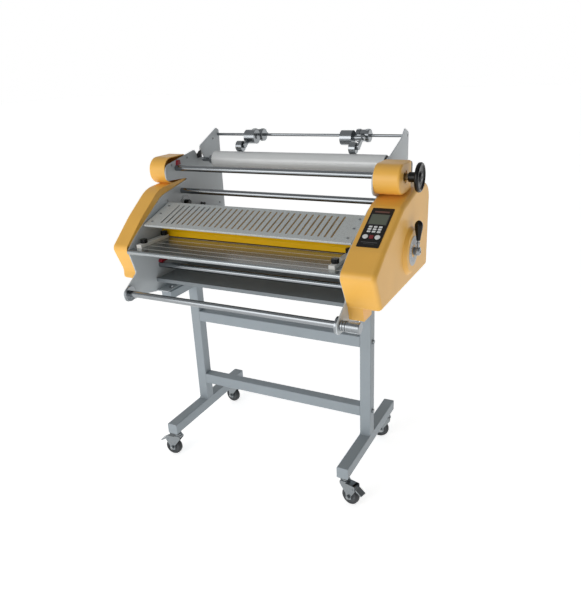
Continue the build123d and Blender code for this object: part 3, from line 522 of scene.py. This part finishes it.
# ---- pieces --------------------------------------------------------------------------------
class LaminatorHandwheel(bpy.types.Operator):
    """Turn the dished handwheel of the tension shaft"""

    bl_idname = "laminator.handwheel"
    bl_label = "Handwheel"

    def execute(self, context):
        axis = pivot("tension_turn")
        rings = [
            (471, 13.8), (471.8, 15), (491, 15), (495, 16), (497.6, 19), (499.4, 25), (499.8, 33),
            (498, 36), (497, 39), (497.4, 41.4), (499, 43.2), (502, 44), (505, 44), (508, 43.1),
            (509.6, 41.2), (510, 38.8), (509, 36.4), (506.6, 34.6), (505, 30), (504.6, 20), (505.6, 16.4),
            (508.4, 14), (509.8, 11.6), (510, 9), (510, 5), (508, 4.4), (508, 1),
        ]
        wheel = turned("handwheel", axis[1:], rings, 72)
        done(wheel, "tension_bar", "black_plastic", "phenolic_gloss", "tension_handwheel", angle=50)
        return {"FINISHED"}


class LaminatorLever(bpy.types.Operator):
    """Make the pressure lever: chrome hub and rod, black teardrop grip"""

    bl_idname = "laminator.lever"
    bl_label = "Pressure lever"

    def execute(self, context):
        axis = pivot("pressure_lever_turn")
        hub = turned("lever_hub", axis[1:], [
            (373, 7.6), (373.5, 8), (495, 8), (495, 12.4), (495.6, 13), (499, 13), (499.8, 11.4),
            (502, 11.4), (502.8, 13), (511.6, 13), (513.2, 12.2), (514, 10.6), (514, 6), (512.4, 5.4),
            (512.4, 1),
        ])
        up = towards((0.507, axis.y, axis.z), (0, 0, 1))
        rod = placed(turned("lever_rod", (0, 0), [
            (8, 4), (22, 4), (22.6, 5.6), (27.4, 5.6), (28, 4), (39, 4), (40, 3)], 32), up)
        hub = joined("lever_hub", [hub, rod])
        done(hub, "pressure_lever", "bright_steel", "chrome_turned", "pressure_lever", angle=40)
        grip = placed(turned("lever_grip", (0, 0), [
            (34, 4.4), (34.2, 5.6), (35, 6.2), (44, 7.4), (54, 9), (62, 10.4), (70, 11.8), (76, 12.4),
            (81, 12.5), (86, 11.6), (90, 9.6), (93.4, 6.6), (95.4, 3.4), (96, 1)], 40), up)
        done(grip, "pressure_lever", "black_plastic", "phenolic_gloss", angle=60)
        return {"FINISHED"}


class LaminatorFlange(bpy.types.Operator):
    """Close the left cover with a flange behind the plate, down its sloping front edge"""

    bl_idname = "laminator.flange"
    bl_label = "Cover flange"

    def execute(self, context):
        face = -PLATE_IN - 4.4 * MM          # just outside the plate
        front, rear, bottom = -0.292, 0.085, 0.83
        shortest = 5 * MM                    # least distance between two stations
        tuck, width = 1.5 * MM, 38 * MM      # how far it starts inside the edge, and how far it reaches
        rim = {}
        for vertex in frame["nodes"]["left_cover"].data.vertices:
            y, z = vertex.co.y, vertex.co.z
            if abs(vertex.co.x - face) < MM and front < y < rear and z > bottom:
                place = round(y, 3)
                rim[place] = max(z, rim.get(place, z))
        edge = [Vector((face, y, rim[y])) for y in sorted(rim)]
        stations = [edge[0]]
        for spot in edge[1:]:
            if (spot - stations[-1]).length > shortest:
                stations.append(spot)
        alone()
        bpy.ops.mesh.primitive_grid_add(x_subdivisions=len(stations) - 1, y_subdivisions=1, size=1)
        flange = bpy.context.object
        flange.name = "left_cover_flange"
        corners = flange.data.vertices
        for i, spot in enumerate(stations):
            run = stations[min(i + 1, len(stations) - 1)] - stations[max(i - 1, 0)]
            inward = run.cross(Vector((1, 0, 0))).normalized()
            if inward.z > 0:
                inward.negate()
            corners[i].co = spot + tuck * inward
            corners[i + len(stations)].co = spot + width * inward
        wall = flange.modifiers.new("wall", "SOLIDIFY")
        wall.thickness = 2 * MM
        wall.offset = 0
        bpy.ops.object.modifier_apply(modifier=wall.name)
        done(close(flange), "root", "cover_plastic", "amber_abs_moulded")
        return {"FINISHED"}


class LaminatorFilm(bpy.types.Operator):
    """Wind the film roll and cap its right end"""

    bl_idname = "laminator.film"
    bl_label = "Film roll"

    def execute(self, context):
        low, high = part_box("film_roll")
        axis = pivot("film_supply_turn")
        start, end = low.x / MM, high.x / MM
        core, outer = 19, (high.z - low.z) / 2 / MM
        steps = [(core + 1.2 + 1.1 * i, 0.5 if i % 2 else 0.0) for i in range(10)]
        left = [(start, core)] + [(start + dip, r) for r, dip in steps] + [(start, outer - 0.4)]
        right = [(end, outer - 0.4)] + [(end - dip, r) for r, dip in reversed(steps)] + [(end, core)]
        skin = [(start + 0.4, outer), (end - 0.4, outer)]
        roll = turned("film_windings", axis[1:], left + skin + right + left[:1], 96, bore=True)
        done(roll, "film_supply", "film", "film_wound", "film_roll", angle=25)
        plug = turned("film_core_plug", axis[1:], [
            (342.1, 14.8), (342.1, 27), (342.8, 27.8), (345.4, 27.8), (346.4, 26.8), (346.4, 20),
            (350, 18), (352, 17), (352, 14.8), (342.1, 14.8)], 48, bore=True)
        done(plug, "film_supply", "black_plastic", "nylon_black", angle=35)
        return {"FINISHED"}


class LaminatorRollers(bpy.types.Operator):
    """Turn the four rollers: a rubber sleeve on a steel core"""

    bl_idname = "laminator.rollers"
    bl_label = "Rollers"

    def execute(self, context):
        for height in ("lower", "upper"):
            for kind in ("laminating", "pull"):
                node = f"{height}_{kind}_roller"
                axis = pivot(f"{height}_{kind}_spin")
                low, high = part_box(node)
                radius = (high.z - low.z) / 2 / MM
                inner = radius * 0.78
                sleeve = turned(f"{height}_{kind}_sleeve", axis[1:], [
                    (-345, inner), (-345, radius - 1.4), (-344.6, radius - 0.5), (-343.6, radius),
                    (343.6, radius), (344.6, radius - 0.5), (345, radius - 1.4), (345, inner),
                    (-345, inner)], 72, bore=True)
                done(sleeve, node, "silicone", "silicone_ground", node, angle=40)
                core = turned(f"{height}_{kind}_core", axis[1:], [
                    (-394, 11), (-393, 12), (-348, 12), (-344.2, 15), (-344.2, inner), (344.2, inner),
                    (344.2, 15), (348, 12), (393, 12), (394, 11)], 48)
                done(core, node, "zinc_steel", "chrome_turned", angle=30)
        return {"FINISHED"}


class LaminatorCasters(bpy.types.Operator):
    """Make the caster wheels, with ribbed cores, and their axle nuts"""

    bl_idname = "laminator.casters"
    bl_label = "Casters"

    def execute(self, context):
        half = [(0, 31.5), (4, 31.4), (7.5, 30.6), (9.8, 29), (11, 26.6), (11, 24.6), (9.6, 23)]
        tread = [(-x, r) for x, r in reversed(half)] + half[1:]
        tyre = turned("tyre", (0, 0), tread + tread[:1], 64, bore=True)
        side = [(9.6, 23.05), (8.2, 21), (7.6, 12), (9.4, 10), (11, 9), (11, 4.06)]
        web = [(-x, r) for x, r in reversed(side)] + side
        core = turned("core", (0, 0), web + web[:1], 48, bore=True)

        def pocket(middle, normal):
            reach = (middle.y ** 2 + middle.z ** 2) ** 0.5
            spoke = atan2(middle.z, middle.y) % (pi / 4) < pi / 24
            return abs(normal.x) > 0.9 and 12 * MM < reach < 20 * MM and not spoke

        with_faces(core, pocket)
        bpy.ops.mesh.inset(thickness=0.7 * MM, depth=-1.8 * MM, use_individual=False)
        close(core)
        nut = turned("nut", (0, 0), [(0, 5), (0.4, 6), (3.2, 6), (3.8, 5.2), (3.8, 3.2)], 6)
        thread = turned("thread", (0, 0), [(0, 2.6), (4.6, 2.6), (5.2, 2)], 20)
        nut = joined("nut", [nut, thread])
        for name in ("fl", "fr", "rl", "rr"):
            joint = JOINTS[f"caster_roll_{name}"]
            aim = towards(joint["pos_m"], joint["axis"])
            wheel = f"wheel_{name}"
            done(copied(tyre, f"caster_tyre_{name}", aim), wheel, "tread", "polyurethane_tread",
                 f"caster_wheel_{name}", angle=40)
            done(copied(core, f"caster_core_{name}", aim), wheel, "tread", "nylon_core")
            nuts = []
            for sign in (-1, 1):
                at = Vector(joint["pos_m"]) + sign * 18.9 * MM * Vector(joint["axis"])
                nuts.append(copied(nut, "caster_nuts", towards(at, sign * Vector(joint["axis"]))))
            done(joined(f"caster_nuts_{name}", nuts), f"swivel_{name}", "zinc_steel", "steel_screw")
        for pattern in (tyre, core, nut):
            bpy.data.objects.remove(pattern)
        return {"FINISHED"}


def knurled(name, axis, low, high, radius, count, depth):
    """A thin ring of grip cells over a turned knob, from x low to high, in millimetres."""
    ring = turned(name, axis, [
        (low, radius - 1), (low, radius - 0.3), (low + 0.6, radius + 0.35), (high - 0.6, radius + 0.35),
        (high, radius - 0.3), (high, radius - 1), (low, radius - 1)], count, bore=True)

    def outer(middle, normal):
        away = Vector((0, middle.y - axis[0], middle.z - axis[1]))
        return abs(normal.x) < 0.1 and away.length > (radius - 0.3) * MM

    with_faces(ring, outer)
    bpy.ops.mesh.inset(thickness=0.3 * MM, depth=-depth, use_individual=True)
    return close(ring)


class LaminatorKnurls(bpy.types.Operator):
    """Cut the grips of the slitter collars and the rewind knob"""

    bl_idname = "laminator.knurls"
    bl_label = "Knurled grips"

    def execute(self, context):
        sizes = context.scene.laminator_sizes
        for hand in ("left", "right"):
            low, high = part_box(f"{hand}_slitter_collar")
            axis = pivot(f"{hand}_slitter_swing")
            start, end = low.x / MM, high.x / MM
            rings = [knurled("grip", axis[1:], a, b, 22, sizes.knurl_count, sizes.knurl_depth)
                     for a, b in ((start + 2, start + 13), (end - 13, end - 2))]
            done(joined(f"{hand}_collar_grips", rings), f"{hand}_slitter_collar", "bright_steel",
                 "chrome_turned", angle=20)
        axis = pivot("rewind_turn")
        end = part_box("rewind_shaft")[1].x / MM
        grip = knurled("rewind_grip", axis[1:], end - 36, end - 3, 17, 40, sizes.knurl_depth)
        done(grip, "rewind", "bright_steel", "chrome_turned", angle=20)
        return {"FINISHED"}


def screw_head(radius_mm):
    """A button head along X at the origin, with a recess."""
    r = radius_mm
    return turned("screw", (0, 0), [
        (-0.4, r * 0.9), (0.1, r), (0.8, r), (1.5, r * 0.86), (2.1, r * 0.6), (2.2, r * 0.45),
        (1.0, r * 0.4), (1.0, r * 0.1)], 24)


class LaminatorScrews(bpy.types.Operator):
    """Put the screws in the side plates and the rear panel, and the rivets in the guard"""

    bl_idname = "laminator.screws"
    bl_label = "Screws"

    def execute(self, context):
        screw = screw_head(context.scene.laminator_sizes.screw / MM)
        spots = [(-21.6, 1069), (75, 1081), (-65, 953), (252, 1128), (-300, 690), (-160, 690), (240, 690),
                 (-272, 826), (262, 880), (262, 1010)]
        for side, label in ((-1, "left"), (1, "right")):
            heads = [copied(screw, "head", towards((side * PLATE_IN, y * MM, z * MM), (-side, 0, 0)))
                     for y, z in spots]
            done(joined(f"{label}_plate_screws", heads), "root", "zinc_steel", "steel_screw")
        low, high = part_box("rear_panel")
        inset = 12 * MM
        heads = [copied(screw, "head", towards((x, high.y, z), (0, 1, 0)))
                 for x in (low.x + inset, -0.12, 0.12, high.x - inset)
                 for z in (low.z + inset, high.z - inset)]
        done(joined("rear_panel_screws", heads), "root", "zinc_steel", "steel_screw")
        rear, front = Vector((0, -67, 948)) * MM, Vector((0, -212, 901)) * MM
        slope = (rear - front).normalized()
        rise = Vector((1, 0, 0)).cross(slope)
        heads = []
        for x in (-0.352, 0.352):
            for share in (0.16, 0.5, 0.84):
                at = front.lerp(rear, share) + Vector((x, 0, 0))
                heads.append(copied(screw, "head", towards(at, rise)))
        done(joined("guard_rivets", heads), "guard", "zinc_steel", "steel_screw")
        bpy.data.objects.remove(screw)
        return {"FINISHED"}


class LaminatorCatches(bpy.types.Operator):
    """Make the black mandrel clip beside the film notch and the web pegs under it"""

    bl_idname = "laminator.catches"
    bl_label = "Clips and pegs"

    def execute(self, context):
        near, far = -PLATE_IN / MM, -PLATE_IN / MM + 9
        foot = brick("mandrel_clip", (near, 136, 1072), (far, 158, 1088), 2.0)
        with_faces(foot, lambda middle, normal: normal.z > 0.9)
        bpy.ops.mesh.extrude_region_move(TRANSFORM_OT_translate={"value": (0, 4 * MM, 9 * MM)})
        bpy.ops.transform.resize(
            value=(0.7, 0.45, 1), center_override=((near + far) / 2 * MM, 0.154, 1.097))
        done(softened(close(foot), 0.6), "root", "black_plastic", "nylon_black")
        for side, label in ((-1, "left"), (1, "right")):
            peg = turned("peg", (0, 0), [
                (0, 6), (1.4, 6), (1.8, 3.4), (12, 3.4), (13, 5), (15.6, 5.4), (17, 4.6), (17.4, 2)], 28)
            placed(peg, towards((side * PLATE_IN, 0.137, 0.902), (-side, 0, 0)))
            peg.name = f"{label}_web_peg"
            done(peg, "root", "black_plastic", "nylon_black")
        return {"FINISHED"}


class LaminatorInlet(bpy.types.Operator):
    """Put the blades in the power inlet"""

    bl_idname = "laminator.inlet"
    bl_label = "Inlet blades"

    def execute(self, context):
        low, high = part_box("power_inlet")
        middle = (low.x + high.x) / 2 / MM
        front = high.y / MM
        height = (low.z + high.z) / 2 / MM
        half_thick, half_tall, spacing = 1.2, 3.2, 7
        blades = [brick("blade", (x - half_thick, front - 20, height - half_tall),
                        (x + half_thick, front - 4.5, height + half_tall), 0.5)
                  for x in (middle - spacing, middle, middle + spacing)]
        done(joined("inlet_blades", blades), "root", "zinc_steel", "steel_screw")
        return {"FINISHED"}


class LaminatorWelds(bpy.types.Operator):
    """Lay the fillet welds between the posts, feet and top bars"""

    bl_idname = "laminator.welds"
    bl_label = "Welds"

    def execute(self, context):
        leg = context.scene.laminator_sizes.weld / MM
        half = 19.6
        for side, label in ((-1, "left"), (1, "right")):
            beads = []
            for bottom, up in ((145, 1), (625, -1)):
                alone()
                bpy.ops.mesh.primitive_plane_add(size=2 * half * MM, location=(side * 0.343, 0, bottom * MM))
                bead = bpy.context.object
                bead.name = "bead"
                close(bead)
                bpy.ops.object.mode_set(mode="EDIT")
                bpy.ops.mesh.select_all(action="SELECT")
                bpy.ops.mesh.bevel(offset=3 * MM, segments=4, affect="VERTICES")
                bpy.ops.mesh.select_all(action="SELECT")
                bpy.ops.mesh.delete(type="ONLY_FACE")
                bpy.ops.mesh.select_all(action="SELECT")
                middle = (side * 0.343, 0, bottom * MM)
                x_half = half + 0.7
                bpy.ops.transform.translate(value=(0, 0, up * leg * MM))
                rounds = [(0.5, 0.68), (0.85, 0.3), (1, 0.0), (1, -0.9), (0, -0.9)]
                was_x, was_y, was_up = half, half, leg
                for out, rise in rounds:
                    now_x = half + (x_half - half) * out
                    now_y = half + leg * out
                    now_up = leg * rise
                    bpy.ops.mesh.extrude_region_move(
                        TRANSFORM_OT_translate={"value": (0, 0, up * (now_up - was_up) * MM)})
                    bpy.ops.transform.resize(value=(now_x / was_x, now_y / was_y, 1), center_override=middle)
                    was_x, was_y, was_up = now_x, now_y, now_up
                bpy.ops.mesh.extrude_region_move(
                    TRANSFORM_OT_translate={"value": (0, 0, up * (leg - was_up) * MM)})
                beads.append(close(bead))
            done(joined(f"{label}_leg_welds", beads), "root", "stand_paint", "powder_coat_stand", angle=60)
        return {"FINISHED"}


# ---- stage ---------------------------------------------------------------------------------
class LaminatorStageSet(bpy.types.Operator):
    """Lay the floor and set the lights and the camera"""

    bl_idname = "laminator.stage"
    bl_label = "Stage"

    def execute(self, context):
        scene = context.scene
        stage, colours = scene.laminator_stage, scene.laminator_colours
        scene.view_settings.view_transform = "Standard"
        alone()
        bpy.ops.mesh.primitive_plane_add(size=60, location=(0, 0, -0.0005))
        floor = bpy.context.object
        floor.name = "floor"
        # Matt white studio vinyl, with a glow of its own so that it stays pale.
        coated("studio_vinyl", colours.floor, 0.9, 40, 0.01, 0.004,
               Emission_Color=(1, 1, 1, 1), Emission_Strength=0.65)
        floor.data.materials.append(bpy.data.materials["studio_vinyl"])

        world = bpy.data.worlds.new("studio")
        world.use_nodes = True
        scene.world = world
        tree = world.node_tree
        spot = add(tree, "ShaderNodeTexCoord").outputs["Generated"]
        parts = add(tree, "ShaderNodeSeparateXYZ", links={"Vector": spot})
        ramp = add(tree, "ShaderNodeValToRGB", links={"Fac": parts.outputs["Z"]})
        ramp.color_ramp.elements[0].position = 0.16
        ramp.color_ramp.elements[0].color = (1, 1, 1, 1)
        ramp.color_ramp.elements[1].position = 0.5
        ramp.color_ramp.elements[1].color = (0.4, 0.405, 0.41, 1)
        # The right side of the room is darker.
        side = add(tree, "ShaderNodeMapRange",
                   {"From Min": 0.1, "From Max": 0.7, "To Min": 1.0, "To Max": 0.28},
                   {"Value": parts.outputs["X"]})
        dim = add(tree, "ShaderNodeVectorMath",
                  links={0: ramp.outputs["Color"], "Scale": side.outputs["Result"]}, operation="SCALE")
        back = tree.nodes["Background"]
        tree.links.new(dim.outputs["Vector"], back.inputs["Color"])
        back.inputs["Strength"].default_value = 1.0

        lamps = [
            ("key", (-1.1, -3.4, 1.7), 2.4, stage.key_power),
            ("fill", (3.2, -1.0, 1.5), 1.8, stage.fill_power),
        ]
        for name, spot, size, power in lamps:
            alone()
            bpy.ops.object.light_add(type="AREA", location=spot)
            lamp = bpy.context.object
            lamp.name = name
            lamp.data.size = size
            lamp.data.energy = power
            lamp.rotation_mode = "QUATERNION"
            lamp.rotation_quaternion = (Vector((0, 0, 0.7)) - Vector(spot)).to_track_quat("-Z", "Y")

        alone()
        bpy.ops.object.camera_add()
        camera = bpy.context.object
        camera.name = "camera"
        turn = Matrix.Rotation(radians(27.62), 4, "Z") @ Matrix.Rotation(radians(68.52), 4, "X")
        turn = turn @ Matrix.Rotation(radians(-2.64), 4, "Z")
        camera.matrix_world = Matrix.Translation((0.99704, -1.79508, 1.37969)) @ turn
        camera.data.lens = stage.lens
        scene.camera = camera
        return {"FINISHED"}


OPERATORS = (
    LaminatorStageSet, LaminatorFinishes, LaminatorHandwheel, LaminatorLever, LaminatorFlange,
    LaminatorFilm, LaminatorRollers, LaminatorCasters, LaminatorKnurls, LaminatorScrews, LaminatorCatches,
    LaminatorInlet, LaminatorWelds,
)
GROUPS = {
    "laminator_colours": LaminatorColours,
    "laminator_sizes": LaminatorSizes,
    "laminator_stage": LaminatorStage,
}


class LaminatorPanel(bpy.types.Panel):
    """Settings and pieces of the laminator"""

    bl_idname = "VIEW3D_PT_laminator"
    bl_label = "Roll Laminator"
    bl_space_type = "VIEW_3D"
    bl_region_type = "UI"
    bl_category = "Laminator"

    def draw(self, context):
        for group, kind in GROUPS.items():
            box = self.layout.box()
            for key in kind.__annotations__:
                box.prop(getattr(context.scene, group), key)
        for operator in OPERATORS:
            self.layout.operator(operator.bl_idname)


def register():
    for kind in (*GROUPS.values(), *OPERATORS, LaminatorPanel):
        bpy.utils.register_class(kind)
    for name, kind in GROUPS.items():
        setattr(bpy.types.Scene, name, bpy.props.PointerProperty(type=kind))


def unregister():
    for name in GROUPS:
        delattr(bpy.types.Scene, name)
    for kind in reversed((*GROUPS.values(), *OPERATORS, LaminatorPanel)):
        bpy.utils.unregister_class(kind)


def main():
    """Build everything in order."""
    register()
    for operator in OPERATORS:
        name = operator.bl_idname.split(".")[1]
        getattr(bpy.ops.laminator, name)()
    alone()


if __name__ == "__main__":
    main()
